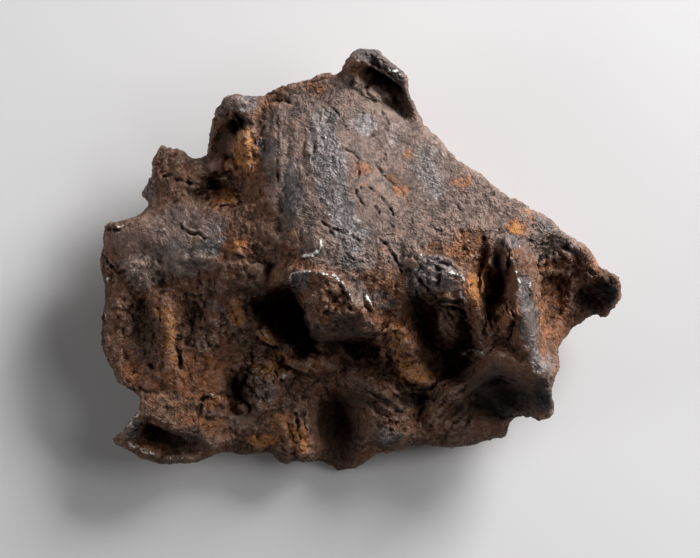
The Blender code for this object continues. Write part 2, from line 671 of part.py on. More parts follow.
def stand_up(lump):
    """Wears the lowest points flat and puts the origin under the middle of the lump."""
    work = bmesh.new()
    work.from_mesh(lump.data)
    everything = work.verts[:] + work.edges[:] + work.faces[:]
    bmesh.ops.bisect_plane(
        work, geom=everything, dist=1e-7, plane_co=(0, 0, 0), plane_no=(0, 0, 1), clear_inner=True
    )
    rims = [edge for edge in work.edges if edge.is_boundary]
    bmesh.ops.remove_doubles(work, verts=list({v for e in rims for v in e.verts}), dist=CRUMB)
    rims = [edge for edge in work.edges if edge.is_boundary]
    bmesh.ops.holes_fill(work, edges=rims, sides=0)
    bmesh.ops.recalc_face_normals(work, faces=work.faces)
    low = Vector(min(v.co[k] for v in work.verts) for k in range(3))
    high = Vector(max(v.co[k] for v in work.verts) for k in range(3))
    middle = (low + high) / 2
    bmesh.ops.translate(work, vec=(-middle.x, -middle.y, 0), verts=work.verts)
    mesh = bpy.data.meshes.new("meteorite")
    work.to_mesh(mesh)
    work.free()
    bpy.data.objects.remove(lump)
    return new_object("meteorite", mesh)


def rusted_iron():
    material = bpy.data.materials.new("rusted_iron")
    material.use_nodes = True
    shader = material.node_tree.nodes["Principled BSDF"]
    shader.inputs["Base Color"].default_value = (0.16, 0.085, 0.055, 1)
    shader.inputs["Roughness"].default_value = 0.62
    shader.inputs["Metallic"].default_value = 0.45
    return material


def build():
    clear_scene()
    lump = raise_relief(torn_slab())
    lump = remeshed(lump, SCULPT_VOXEL)
    lump = relaxed(lump, 0.5, 2)
    for name, hollow in UNDERCUTS.items():
        lump = cut_undercut(lump, name, **hollow)
    lump = remeshed(lump, SCULPT_VOXEL)
    lump = relaxed(lump, 0.5, 2)
    lump = roughen(lump)
    lump = thin_out(lump)
    meteorite = stand_up(lump)
    meteorite.data.materials.append(rusted_iron())
    parts = bpy.data.collections.new("meteorite")
    bpy.context.scene.collection.children.link(parts)
    bpy.context.scene.collection.objects.unlink(meteorite)
    parts.objects.link(meteorite)


build()
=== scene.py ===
"""The looks of an iron meteorite fragment: one torn, rusted lump of metal on a pale floor.

Plan positions are (u, v), in the steps of the grid that the solid was drawn on: u runs to the
right and v towards the viewer. Widths on the plan are in the same steps, and heights are in
millimetres.
"""

import math
from types import SimpleNamespace

import bmesh
import bpy
import numpy as np
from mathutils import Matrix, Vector, noise
from mathutils.bvhtree import BVHTree


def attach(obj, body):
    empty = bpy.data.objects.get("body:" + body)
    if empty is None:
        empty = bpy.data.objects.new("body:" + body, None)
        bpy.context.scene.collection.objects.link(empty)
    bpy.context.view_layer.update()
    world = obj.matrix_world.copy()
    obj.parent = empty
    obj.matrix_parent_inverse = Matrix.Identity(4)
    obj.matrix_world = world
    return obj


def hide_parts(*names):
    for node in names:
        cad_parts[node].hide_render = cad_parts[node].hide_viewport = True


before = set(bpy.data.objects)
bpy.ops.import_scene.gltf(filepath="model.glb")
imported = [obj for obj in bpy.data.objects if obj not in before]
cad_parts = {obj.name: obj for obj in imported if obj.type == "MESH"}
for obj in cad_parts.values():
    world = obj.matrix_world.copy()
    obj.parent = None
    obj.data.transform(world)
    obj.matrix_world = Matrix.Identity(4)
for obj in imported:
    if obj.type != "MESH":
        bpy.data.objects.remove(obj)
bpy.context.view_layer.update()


# ---------------------------------------------------------------- the fragment
#
# A lump of nickel iron that was torn hot from a larger mass. The shield is the old outer face,
# still flat; everything below it is torn metal with curled lips and deep hollows. It has
# rusted chocolate brown since, with bright metal where the thin rims are rubbed.

MM = 0.001
LENGTH = 0.200
STEP = LENGTH / 523
PLAN_MIDDLE = (361.0, 261.5)

SKIN_VOXEL = 0.00054  # mesh spacing while the skin is worked
FACE_LIMIT = 196000  # triangles left in the finished skin
UNSEEN_LIMIT = 50000  # how many of them are below and behind
SEED = 11
noise.seed_set(SEED)

RAY_LIFT = 0.0004  # a sight line starts this far off the skin
UNDERCUT = -0.15  # a face that leans further over than this is not seen from above
WOBBLE = (2.0, 0.0022)  # how far drawn lines wander, in steps, and over what distance
DRIFT = (7.0, 0.0090)  # how much further painted ovals stray, and over what distance
OVAL_EDGE = 1.6  # how firm an oval's edge is


def worked(obj, kind, **settings):
    """Adds one modifier and makes its result the object's own mesh."""
    modifier = obj.modifiers.new(kind.lower(), kind)
    for name, value in settings.items():
        setattr(modifier, name, value)
    graph = bpy.context.evaluated_depsgraph_get()
    result = bpy.data.meshes.new_from_object(obj.evaluated_get(graph))
    obj.modifiers.clear()
    obj.data = result


def rough_casting():
    """The solid's own shape, with its facets rounded off and an even, fine mesh."""
    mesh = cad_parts["meteorite"].data.copy()
    welded = bmesh.new()
    welded.from_mesh(mesh)
    bmesh.ops.remove_doubles(welded, verts=welded.verts, dist=0.00001)
    welded.to_mesh(mesh)
    welded.free()
    mesh.materials.clear()
    casting = bpy.data.objects.new("iron_fragment", mesh)
    bpy.context.scene.collection.objects.link(casting)
    worked(casting, "REMESH", mode="VOXEL", voxel_size=SKIN_VOXEL)
    worked(casting, "SMOOTH", factor=0.5, iterations=3)
    return casting


def spread(values, edges, rounds):
    """Per-vertex values averaged with their neighbours' a few times."""
    count = len(values)
    flat = edges.ravel()
    other = edges[:, ::-1].ravel()
    touching = np.maximum(np.bincount(flat, minlength=count), 1)
    for _ in range(rounds):
        if values.ndim == 1:
            mean = np.bincount(flat, values[other], count) / touching
        else:
            sums = [np.bincount(flat, values[other, k], count) for k in range(3)]
            mean = np.column_stack(sums) / touching[:, None]
        values = 0.5 * values + 0.5 * mean
    return values


def survey(obj):
    """Where each vertex is, on the plan too, and how far it can be seen from above. What is
    drawn as a line wanders a little from it, and what is painted as an oval wanders more."""
    mesh = obj.data
    points = np.empty(len(mesh.vertices) * 3, np.float32)
    mesh.vertices.foreach_get("co", points)
    points = points.reshape(-1, 3).astype(float)
    normals = np.empty(len(mesh.vertices) * 3, np.float32)
    mesh.vertex_normals.foreach_get("vector", normals)
    normals = normals.reshape(-1, 3).astype(float)
    edges = np.empty(len(mesh.edges) * 2, np.int32)
    mesh.edges.foreach_get("vertices", edges)
    edges = edges.reshape(-1, 2)
    plan = np.column_stack([
        points[:, 0] / STEP + PLAN_MIDDLE[0],
        PLAN_MIDDLE[1] - points[:, 1] / STEP,
    ])
    tree = BVHTree.FromObject(obj, bpy.context.evaluated_depsgraph_get())
    up = Vector((0, 0, 1))
    seen = np.zeros(len(points))
    starts = points + normals * RAY_LIFT
    for i in np.flatnonzero(normals[:, 2] > UNDERCUT):
        seen[i] = tree.ray_cast(Vector(starts[i]), up)[0] is None
    seen = spread(seen, edges, 2)
    wobble, drift = (
        reach * np.array([noise.noise_vector(Vector(p) / size)[:2] for p in points])
        for reach, size in (WOBBLE, DRIFT)
    )
    return SimpleNamespace(
        points=points, normals=normals, edges=edges, seen=seen,
        drawn=plan + wobble, strayed=plan + drift + wobble,
    )


def near_line(place, path, width):
    """The seen vertices within a width of a drawn line, and how far they are from it."""
    corners = np.array(path, float)
    low, high = corners.min(0) - width, corners.max(0) + width
    boxed = ((place.drawn > low) & (place.drawn < high)).all(1) & (place.seen > 0.05)
    near = np.flatnonzero(boxed)
    gap = np.full(len(near), np.inf)
    for start, end in zip(corners[:-1], corners[1:]):
        run = end - start
        reach = place.drawn[near] - start
        share = np.clip(reach @ run / (run @ run), 0, 1)
        gap = np.minimum(gap, np.linalg.norm(reach - share[:, None] * run, axis=1))
    return near, gap


def near_oval(place, u, v, across, along, turn=0):
    """1 over the middle of an oval on the plan, 0 from its edge outwards."""
    angle = math.radians(turn)
    away_u, away_v = place.strayed[:, 0] - u, place.strayed[:, 1] - v
    x = away_u * math.cos(angle) + away_v * math.sin(angle)
    y = away_v * math.cos(angle) - away_u * math.sin(angle)
    inside = np.clip(OVAL_EDGE - OVAL_EDGE * np.hypot(x / across, y / along), 0, 1)
    return place.seen * inside * inside * (3 - 2 * inside)


# Thin rims that stand up: (height mm, width in steps, line).
RIMS = [
    (0.7, 2.0, [(297, 291), (293, 286), (290, 280), (292, 274), (300, 271), (311, 272),
                (322, 273), (332, 275), (341, 280), (347, 288), (352, 298), (359, 308),
                (364, 316)]),
    (0.8, 2.2, [(323, 236), (322, 243), (320, 250), (316, 254), (308, 255), (302, 258),
                (296, 264), (291, 270)]),
    (0.8, 1.8, [(372, 289), (368, 292), (367, 298), (369, 304), (372, 310)]),
    (0.8, 2.0, [(421, 254), (420, 260), (416, 266), (418, 274)]),
    (0.9, 2.2, [(446, 273), (454, 273), (460, 275), (464, 281)]),
    (0.8, 2.0, [(460, 288), (461, 296), (467, 303), (469, 316), (473, 330), (481, 342),
                (487, 351)]),
    (0.7, 2.0, [(464, 353), (470, 350), (477, 351), (484, 355)]),
    (0.6, 1.6, [(430, 325), (437, 332), (441, 340), (449, 346), (466, 349)]),
    (0.8, 1.8, [(505, 232), (509, 245), (511, 256), (514, 266), (518, 280), (517, 292),
                (516, 310), (517, 328), (524, 350)]),
    (0.5, 1.8, [(532, 272), (530, 281), (528, 289)]),
    (0.8, 2.2, [(380, 62), (385, 67), (391, 73), (396, 71), (402, 78), (407, 81)]),
    (0.5, 1.6, [(407, 83), (409, 95), (413, 107), (420, 117)]),
    (0.7, 1.8, [(231, 111), (237, 112), (243, 110), (247, 113)]),
    (0.6, 1.8, [(213, 178), (221, 179), (229, 178)]),
    (0.7, 2.0, [(103, 226), (108, 222), (114, 225), (118, 228), (123, 225)]),
    (0.7, 1.8, [(182, 225), (188, 229), (194, 231), (201, 231)]),
    (0.7, 2.0, [(140, 409), (136, 416), (132, 423), (126, 430)]),
    (0.6, 2.0, [(144, 414), (158, 418), (166, 424), (176, 430), (190, 434), (204, 440)]),
    (0.6, 2.0, [(362, 380), (372, 387), (384, 393), (392, 401), (400, 407)]),
    (0.6, 1.8, [(369, 409), (374, 416), (384, 421)]),
    (0.5, 2.0, [(240, 296), (254, 300), (268, 300)]),
]

# Hair cracks and the shadowed edges of flakes: (depth mm, width in steps, line).
CRACKS = [
    (0.50, 1.5, [(330, 107), (337, 113), (342, 120), (346, 128)]),
    (0.45, 1.4, [(346, 150), (353, 154), (359, 160)]),
    (0.55, 1.5, [(357, 163), (359, 172), (357, 181), (360, 189)]),
    (0.45, 1.4, [(356, 190), (359, 199), (364, 207)]),
    (0.65, 1.6, [(367, 187), (376, 193), (382, 199), (389, 207), (394, 216)]),
    (0.40, 1.4, [(389, 222), (395, 231)]),
    (0.50, 1.5, [(375, 165), (380, 170), (383, 174)]),
    (0.35, 1.3, [(385, 155), (388, 165)]),
    (0.40, 1.4, [(383, 176), (392, 183), (400, 190), (405, 195)]),
    (0.45, 1.5, [(375, 208), (379, 214)]),
    (0.40, 1.5, [(320, 200), (325, 204), (330, 210)]),
    (0.55, 1.6, [(322, 222), (330, 228), (339, 231), (347, 231)]),
    (0.55, 1.6, [(350, 233), (354, 238), (359, 241)]),
    (0.70, 2.0, [(343, 240), (344, 249), (349, 256), (357, 262), (368, 263)]),
    (0.60, 1.8, [(380, 240), (386, 245), (391, 252), (396, 262), (401, 271)]),
    (0.45, 1.5, [(329, 231), (335, 237)]),
    (0.55, 1.5, [(450, 203), (457, 206), (461, 212)]),
    (0.45, 1.6, [(435, 229), (441, 231)]),
    (0.35, 1.4, [(382, 112), (386, 119), (389, 125)]),
    (0.60, 1.7, [(271, 101), (284, 101), (291, 104), (298, 105)]),
    (0.45, 1.5, [(288, 86), (300, 84), (314, 82), (326, 79)]),
    (0.45, 1.5, [(262, 93), (276, 94), (282, 91)]),
    (0.80, 1.8, [(105, 256), (109, 264), (114, 268), (119, 272), (126, 271)]),
    (0.90, 1.8, [(181, 226), (186, 232), (193, 234), (199, 234), (205, 238)]),
    (0.50, 1.6, [(157, 230), (165, 232)]),
    (0.80, 2.0, [(164, 177), (171, 175), (176, 180), (183, 181), (191, 184), (197, 184)]),
    (0.90, 2.2, [(104, 231), (111, 229), (119, 230)]),
    (0.70, 2.0, [(210, 175), (217, 173)]),
    (0.60, 2.0, [(186, 295), (194, 297), (202, 296)]),
    (0.70, 2.2, [(178, 336), (177, 346), (179, 356), (181, 368)]),
    (0.70, 2.0, [(200, 399), (208, 399), (216, 401)]),
    (0.60, 1.8, [(431, 258), (440, 262), (450, 265)]),
    (0.80, 2.0, [(363, 296), (365, 304), (368, 311)]),
    (0.80, 2.0, [(519, 238), (525, 239), (530, 242)]),
    (0.70, 2.0, [(540, 243), (546, 243)]),
    (0.40, 1.8, [(277, 118), (279, 135), (279, 152)]),
    (0.40, 1.8, [(277, 160), (278, 174), (280, 190)]),
    (0.60, 2.0, [(410, 281), (416, 291), (420, 302)]),
    (0.60, 2.0, [(419, 279), (427, 289), (436, 298)]),
    (0.70, 1.8, [(296, 417), (298, 426)]),
    (0.40, 3.0, [(102, 232), (102, 252), (104, 270), (107, 290), (103, 310), (102, 335),
                 (103, 352), (110, 368), (116, 382), (124, 388), (134, 390)]),
    (0.50, 3.0, [(236, 376), (231, 386), (236, 397), (248, 404), (256, 408)]),
    (0.40, 3.0, [(366, 390), (376, 396), (386, 402), (396, 410)]),
    (0.40, 3.0, [(400, 391), (412, 397), (426, 399), (436, 394)]),
    (0.50, 2.6, [(340, 287), (347, 298), (351, 309)]),
    (0.50, 2.0, [(407, 292), (412, 302), (417, 314), (427, 328)]),
    (0.50, 2.2, [(432, 300), (446, 301), (458, 302), (466, 305)]),
    (0.40, 2.2, [(140, 388), (146, 392), (158, 392)]),
    (0.60, 2.4, [(487, 303), (496, 301), (506, 299)]),
]

# Round holes and corroded pits: (u, v, radius in steps, depth mm).
HOLES = [
    (549, 281, 4.0, 1.4), (565, 250, 3.0, 1.2), (251, 277, 3.5, 1.2), (243, 144, 2.2, 1.0),
    (249, 143, 1.8, 0.8), (216, 400, 3.0, 0.9), (341, 404, 3.5, 1.0), (430, 427, 5.0, 0.9),
    (441, 440, 6.0, 1.2), (396, 387, 5.0, 1.2), (303, 394, 3.0, 0.9), (254, 262, 2.5, 0.8),
    (325, 138, 2.0, 0.6), (372, 132, 2.2, 0.5), (153, 367, 3.0, 0.9), (190, 320, 3.5, 0.8),
    (545, 265, 3.5, 0.9), (556, 279, 3.0, 0.9), (545, 328, 3.0, 0.7), (500, 315, 3.5, 0.9),
]

# Where the relief is raised or lowered from the solid's own, by a few millimetres in most places
# and by up to 16 in the deep hollows: (u, v, half width, half length, turn, height mm).
SWELLS = [
    (147, 273, 28, 28, 0, 5.5), (196, 288, 22, 20, 0, 3.4), (447, 322, 24, 30, -12, 15.0),
    (240, 276, 38, 24, 0, 5.0), (192, 264, 42, 18, 0, 2.5), (285, 376, 12, 9, 20, 3.5),
    (408, 260, 9, 9, 0, 1.5), (424, 262, 10, 9, 0, -1.2), (556, 264, 22, 18, 0, 4.0),
    (256, 313, 8, 7, 0, 4.5), (268, 330, 9, 8, 0, 5.0), (282, 346, 9, 7, 0, 4.0),
    (384, 62, 46, 17, 38, -5.5), (359, 74, 15, 16, 0, 3.5), (377, 93, 18, 12, 35, 5.0),
    (243, 149, 14, 18, 0, 4.5), (238, 124, 9, 13, 10, -6.0), (238, 169, 16, 12, 0, 5.0),
    (222, 197, 16, 10, 0, 3.0), (222, 168, 18, 8, 0, 2.0), (198, 186, 14, 9, 0, 2.5),
    (272, 160, 17, 64, 0, 2.4), (268, 339, 13, 9, 35, 5.0), (310, 362, 36, 16, 5, 6.0),
    (302, 345, 22, 20, 0, -16.0), (368, 345, 30, 18, 0, -16.0), (324, 300, 14, 10, 0, 1.0),
    (326, 308, 30, 30, 0, 5.0), (256, 384, 17, 20, -20, 2.5), (440, 284, 28, 20, 15, 3.0),
    (396, 342, 26, 24, 0, 9.0), (418, 376, 26, 14, 20, 6.5), (474, 354, 13, 6, 0, 4.0),
    (391, 358, 5, 9, 0, -3.0), (499, 320, 16, 28, 0, 7.0), (498, 257, 15, 34, 0, 6.0),
    (488, 278, 12, 26, 0, 6.0), (508, 396, 44, 24, 8, 6.0), (224, 330, 14, 16, 0, 0.8),
    (300, 372, 26, 16, 10, 2.0), (388, 414, 18, 7, 15, 1.5), (205, 384, 26, 14, 0, 0.8),
    (548, 318, 14, 24, 0, 1.5), (598, 290, 12, 10, 0, 1.2),
]

# How far the torn metal strays from its drawn shape, and over what distance: (mm, metres).
RAGGED = [(1.1, 0.0060), (0.35, 0.0024)]

# Broad ridges and furrows in the torn metal: (height mm, width in steps, line).
FOLDS = [
    (1.2, 9, [(166, 298), (170, 320), (172, 345), (170, 368)]),
    (-1.0, 9, [(130, 308), (136, 330), (142, 350), (152, 365)]),
    (-1.0, 5, [(178, 328), (178, 350), (181, 370)]),
    (0.8, 5, [(203, 334), (206, 346), (208, 356)]),
    (1.0, 6, [(234, 302), (240, 314), (246, 326)]),
    (-1.0, 5, [(187, 316), (191, 330), (186, 342)]),
    (-0.8, 6, [(150, 312), (154, 330), (156, 348)]),
    (1.2, 8, [(210, 397), (225, 403), (243, 408)]),
    (-0.8, 5, [(204, 398), (214, 404), (222, 409)]),
    (1.6, 5, [(236, 368), (246, 364), (258, 371), (272, 379), (286, 374)]),
    (-2.2, 7, [(234, 374), (232, 386), (240, 398), (252, 408)]),
    (0.7, 4, [(240, 378), (250, 385), (262, 389), (272, 398)]),
    (0.7, 4, [(244, 392), (254, 398), (262, 408)]),
    (0.9, 5, [(131, 445), (146, 452), (168, 457), (196, 457)]),
    (-0.6, 6, [(338, 284), (346, 296), (351, 308)]),
    (2.5, 5, [(464, 354), (470, 351), (477, 352), (486, 356)]),
    (0.9, 5, [(303, 300), (305, 314), (308, 328), (320, 336)]),
    (0.8, 4, [(312, 318), (322, 325), (334, 322), (340, 310)]),
    (0.8, 5, [(360, 382), (372, 388), (384, 393), (392, 401), (400, 407)]),
    (0.8, 5, [(369, 409), (377, 416), (390, 420), (400, 418)]),
    (1.0, 8, [(402, 372), (416, 379), (430, 386), (442, 384)]),
    (-1.2, 5, [(398, 388), (412, 395), (428, 398)]),
    (1.0, 4, [(418, 425), (426, 412), (440, 400), (450, 386), (462, 374), (470, 362)]),
    (1.0, 5, [(413, 264), (415, 282), (421, 302)]),
    (-0.9, 6, [(424, 270), (428, 286), (434, 300)]),
    (0.8, 4, [(430, 262), (444, 268), (458, 276)]),
    (1.0, 3, [(421, 304), (429, 322), (438, 336), (450, 347), (467, 350)]),
    (0.9, 4, [(487, 301), (496, 299), (506, 297)]),
    (-0.9, 5, [(492, 306), (500, 312), (508, 322)]),
    (0.8, 4, [(489, 322), (498, 326), (508, 324)]),
    (1.0, 4, [(586, 280), (593, 286), (600, 296)]),
    (-0.9, 5, [(590, 272), (598, 281), (606, 290)]),
    (0.9, 5, [(545, 252), (556, 258), (568, 270)]),
    (-0.9, 5, [(540, 262), (552, 268), (562, 280)]),
    (0.9, 5, [(282, 424), (286, 436), (290, 450)]),
    (-1.0, 4, [(296, 414), (298, 428), (302, 440)]),
    (1.0, 5, [(306, 418), (308, 432), (312, 446)]),
    (-0.6, 4, [(196, 410), (200, 420), (204, 430)]),
    (0.6, 4, [(203, 408), (207, 420), (212, 430)]),
    (-0.7, 6, [(316, 392), (322, 410), (318, 430)]),
    (0.7, 5, [(318, 150), (316, 130), (312, 114)]),
    (0.5, 3, [(313, 138), (311, 150), (311, 162), (314, 172)]),
    (-0.4, 5, [(306, 138), (304, 152), (304, 164), (308, 176)]),
    (0.4, 5, [(268, 122), (266, 140), (267, 158)]),
    (-0.3, 5, [(297, 134), (298, 160), (297, 190)]),
]

# How rough the skin is, as ovals on the plan: (u, v, half width, half length, turn, how much).
ROUGHNESS = [
    (390, 160, 105, 105, 0, -0.75), (350, 215, 70, 60, 0, -0.35), (524, 320, 10, 60, -6, -0.9),
    (500, 385, 56, 30, 8, -0.75), (498, 278, 14, 30, 0, -0.6), (120, 240, 30, 30, 0, -0.3),
    (225, 143, 14, 20, 0, -0.8), (222, 365, 26, 24, 0, -0.4), (225, 166, 30, 14, 0, -0.4),
    (175, 236, 70, 44, 0, -0.55), (205, 378, 34, 22, 0, -0.4), (238, 420, 26, 14, 0, -0.5),
    (330, 425, 30, 40, 0, -0.5), (320, 308, 26, 28, 0, 0.7), (362, 294, 12, 24, -25, -0.8),
    (434, 280, 28, 26, 0, -0.3), (285, 160, 36, 64, 0, -0.5), (256, 390, 26, 34, 0, 1.4),
    (390, 345, 34, 44, 0, 0.8), (286, 358, 50, 22, 10, 0.8), (470, 242, 26, 26, 0, 0.5),
    (550, 290, 28, 60, -8, 0.6), (132, 318, 22, 24, 0, 0.7), (500, 322, 16, 24, 0, 0.8),
    (390, 430, 22, 20, 0, 0.8), (250, 262, 26, 26, 0, 0.6), (210, 310, 40, 30, 0, 0.4),
    (292, 455, 24, 14, 0, 0.8), (430, 392, 40, 14, -20, 0.6), (165, 165, 24, 26, 0, 0.4),
]


def roughness_of(place):
    """How rough the skin is at each vertex: 1 is plain torn metal."""
    rough = np.ones(len(place.points))
    for u, v, across, along, turn, amount in ROUGHNESS:
        rough += amount * near_oval(place, u, v, across, along, turn)
    return np.clip(rough, 0.12, 2.4)


def fractal(points, size, octaves):
    """Even noise, about -1 to 1, in lumps of this size, in metres."""
    scaled = points / size
    return np.array([noise.fractal(Vector(p), 0.6, 2.1, octaves) for p in scaled])


def creased(points, size, octaves):
    """Noise, about -1 to 1, in rounded humps of this size with sharp creases between."""
    return 1 - 2.5 * np.abs(fractal(points, size, octaves))


EASING = 6  # rounds of averaging that round off the facets
FLATTENING = 40  # further rounds where the face is smooth
WARP_RISE = 3  # height in mm over which the warp of the torn metal comes in
SKIN_RISE = 1.5  # the same for the corroded skin

# The layers of the corroded skin: height in mm and size in metres.
LUMPS = (0.60, 0.0080)
HUMPS = (0.26, 0.0060)
STREAKS = (0.20, 0.0032)
GRAINS = (0.24, 0.0014)
FLAKES = (0.18, 0.0105)
CHIPS = (0.07, 0.0050)
UNEVEN = 0.0030  # size in metres of the gaps in rims and cracks
PATCHES = 0.0110  # size in metres of the rougher patches
DRAWN_OUT = np.diag([1.0, 0.45, 0.7])  # stretches the streaks across the lump
SLANT = np.array([[1.0, 0.35, 0], [-0.35, 0.28, 0], [0, 0, 1.0]])  # and the flakes askew
CRACK_PROFILE = ((0, 1, 1.5, 2.2), (-1.8, 0, 0.45, 0))  # widths from the crack, and how deep


def ease_the_facets(lump):
    """Rounds off the solid's facets, and more so where the metal's face is smooth."""
    place = survey(lump)
    calm = np.clip(1.4 - roughness_of(place), 0, 1)[:, None]
    eased = spread(place.points, place.edges, EASING)
    flattened = spread(eased, place.edges, FLATTENING)
    moved = eased + (flattened - eased) * calm
    torn = (1 - calm) * np.clip(place.points[:, 2:] / (WARP_RISE * MM) - 0.2, 0, 1)
    for amount, size in RAGGED:
        sway = np.array([noise.noise_vector(Vector(p) / size) for p in place.points])
        moved += amount * MM * torn * sway
    for u, v, across, along, turn, height in SWELLS:
        moved[:, 2] += height * MM * near_oval(place, u, v, across, along, turn)
    for height, width, path in FOLDS:
        near, gap = near_line(place, path, width)
        fold = np.cos(gap / width * math.pi / 2) ** 2
        moved[near, 2] += height * MM * fold * place.seen[near]
    lump.data.vertices.foreach_set("co", moved.astype(np.float32).ravel())
    lump.data.update()


def work_the_skin(lump):
    """Raises the rims, opens the cracks and pits, and gives the metal its corroded skin."""
    place = survey(lump)
    push = np.zeros(len(place.points))
    uneven = np.clip(0.7 + 1.6 * fractal(place.points + 0.2, UNEVEN, 2), 0.0, 1.6)
    for height, width, path in RIMS:
        near, gap = near_line(place, path, width)
        push[near] += height * np.clip(1 - gap / width, 0, 1) * (place.seen * uneven)[near]
    for depth, width, path in CRACKS:
        near, gap = near_line(place, path, CRACK_PROFILE[0][-1] * width)
        profile = np.interp(gap / width, *CRACK_PROFILE)
        push[near] += depth * profile * (place.seen * uneven)[near]
    for u, v, radius, depth in HOLES:
        push -= depth * near_oval(place, u, v, radius * 1.4, radius * 1.4)
    rough = roughness_of(place)
    patches = np.clip(1 + 2.2 * fractal(place.points + 0.4, PATCHES, 2), 0.25, 1.7)
    lumps = LUMPS[0] * fractal(place.points, LUMPS[1], 3)
    humps = HUMPS[0] * creased(place.points + 0.1, HUMPS[1], 3)
    streaks = STREAKS[0] * creased(place.points @ DRAWN_OUT + 0.3, STREAKS[1], 2)
    grains = GRAINS[0] * fractal(place.points + 0.7, GRAINS[1], 2)
    slant = place.points @ SLANT
    flakes = FLAKES[0] * np.tanh(9 * fractal(slant + 0.9, FLAKES[1], 3))
    chips = CHIPS[0] * np.tanh(12 * fractal(slant + 0.6, CHIPS[1], 2))
    push += rough * (lumps + humps) + rough * patches * (streaks + grains)
    push += (flakes + chips) * np.clip(1.5 - rough, 0.3, 1)
    clear_of_floor = np.clip(place.points[:, 2] / (SKIN_RISE * MM) - 0.2, 0, 1)
    moved = place.points + place.normals * (push * clear_of_floor * MM)[:, None]
    moved[:, 2] = np.maximum(moved[:, 2], 0)
    lump.data.vertices.foreach_set("co", moved.astype(np.float32).ravel())
    lump.data.update()


def thin_out(lump):
    """Takes triangles out down to the limit: most of those below and behind go first."""
    unseen = survey(lump).seen < 0.5
    group = lump.vertex_groups.new(name="unseen")
    group.add(np.flatnonzero(~unseen).tolist(), 0.0, "REPLACE")
    group.add(np.flatnonzero(unseen).tolist(), 1.0, "REPLACE")
    corners = np.empty(len(lump.data.loops), np.int32)
    lump.data.loops.foreach_get("vertex_index", corners)
    lump.data.calc_loop_triangles()
    in_sight = len(lump.data.loop_triangles) * (1 - unseen[corners].mean())
    for target, seen_ones in ((in_sight + UNSEEN_LIMIT, False), (FACE_LIMIT, True)):
        lump.data.calc_loop_triangles()
        worked(lump, "DECIMATE", ratio=target / len(lump.data.loop_triangles),
               vertex_group="unseen", invert_vertex_group=seen_ones,
               use_collapse_triangulate=True)
    lump.vertex_groups.clear()


# Where each finish and the painted shade show, as ovals on the plan: (u, v, half width, half
# length, turn, amount).
SCALE = [
    (395, 165, 130, 125, 0, 1.0), (350, 235, 90, 50, 0, 0.9), (330, 110, 80, 40, 0, 0.8),
    (160, 240, 80, 50, 0, 0.6), (210, 200, 60, 60, 0, 0.4), (500, 215, 70, 40, 35, 0.8),
    (290, 170, 34, 90, 0, 0.6), (528, 320, 14, 70, -6, 0.9), (560, 235, 44, 14, 40, 0.8),
    (146, 276, 44, 26, 0, 0.6), (440, 276, 32, 26, 0, 0.7), (258, 388, 22, 26, 0, 0.7),
    (384, 300, 18, 16, 0, 0.8), (358, 292, 14, 24, -25, 0.9), (316, 300, 18, 30, 0, 0.4),
    (282, 400, 24, 24, 0, 0.4), (238, 420, 26, 14, 0, 0.6), (170, 399, 28, 12, 0, 0.5),
    (540, 364, 16, 20, -30, 0.8), (548, 250, 30, 26, 0, 0.6), (500, 270, 14, 24, 0, 0.5),
    (275, 150, 34, 60, 0, 0.4), (195, 262, 56, 26, 0, 0.4), (300, 372, 40, 14, 0, 0.3),
]
STEEL = [
    (322, 128, 24, 30, 0, 0.9), (328, 162, 24, 36, 0, 1.0), (336, 198, 24, 36, -15, 0.9),
    (348, 230, 26, 26, -20, 0.7), (352, 252, 24, 16, 0, 0.4), (364, 124, 20, 16, 0, 0.7),
    (396, 130, 20, 26, 0, 0.4), (428, 172, 26, 44, -8, 0.6), (380, 238, 24, 18, 0, 0.35),
    (218, 232, 18, 22, 0, 0.45), (213, 244, 14, 8, 0, 0.6), (185, 250, 56, 10, 4, 0.5),
    (293, 190, 17, 44, 0, 0.7), (262, 150, 14, 16, 0, 0.8), (247, 104, 22, 12, 0, 0.8),
    (432, 270, 30, 24, 20, 1.0), (299, 282, 13, 14, 0, 0.9), (380, 60, 42, 20, 36, 1.3),
    (526, 318, 13, 64, -6, 0.8), (540, 362, 16, 24, -30, 0.6), (556, 236, 50, 9, 42, 0.6),
    (263, 150, 12, 13, 0, 0.6), (388, 436, 20, 14, 0, 0.8), (508, 242, 14, 18, 0, 0.7),
    (216, 306, 22, 12, 0, 0.5), (148, 185, 14, 20, 0, 0.6), (222, 110, 14, 26, 20, 0.5),
    (135, 428, 14, 20, 30, 0.8), (548, 398, 10, 26, 0, 0.7), (350, 270, 20, 20, 0, 0.4),
    (256, 378, 12, 8, 0, 0.7), (412, 285, 14, 20, 0, 0.6), (465, 352, 20, 8, 0, 0.5),
    (450, 200, 24, 20, 0, 0.3),
]
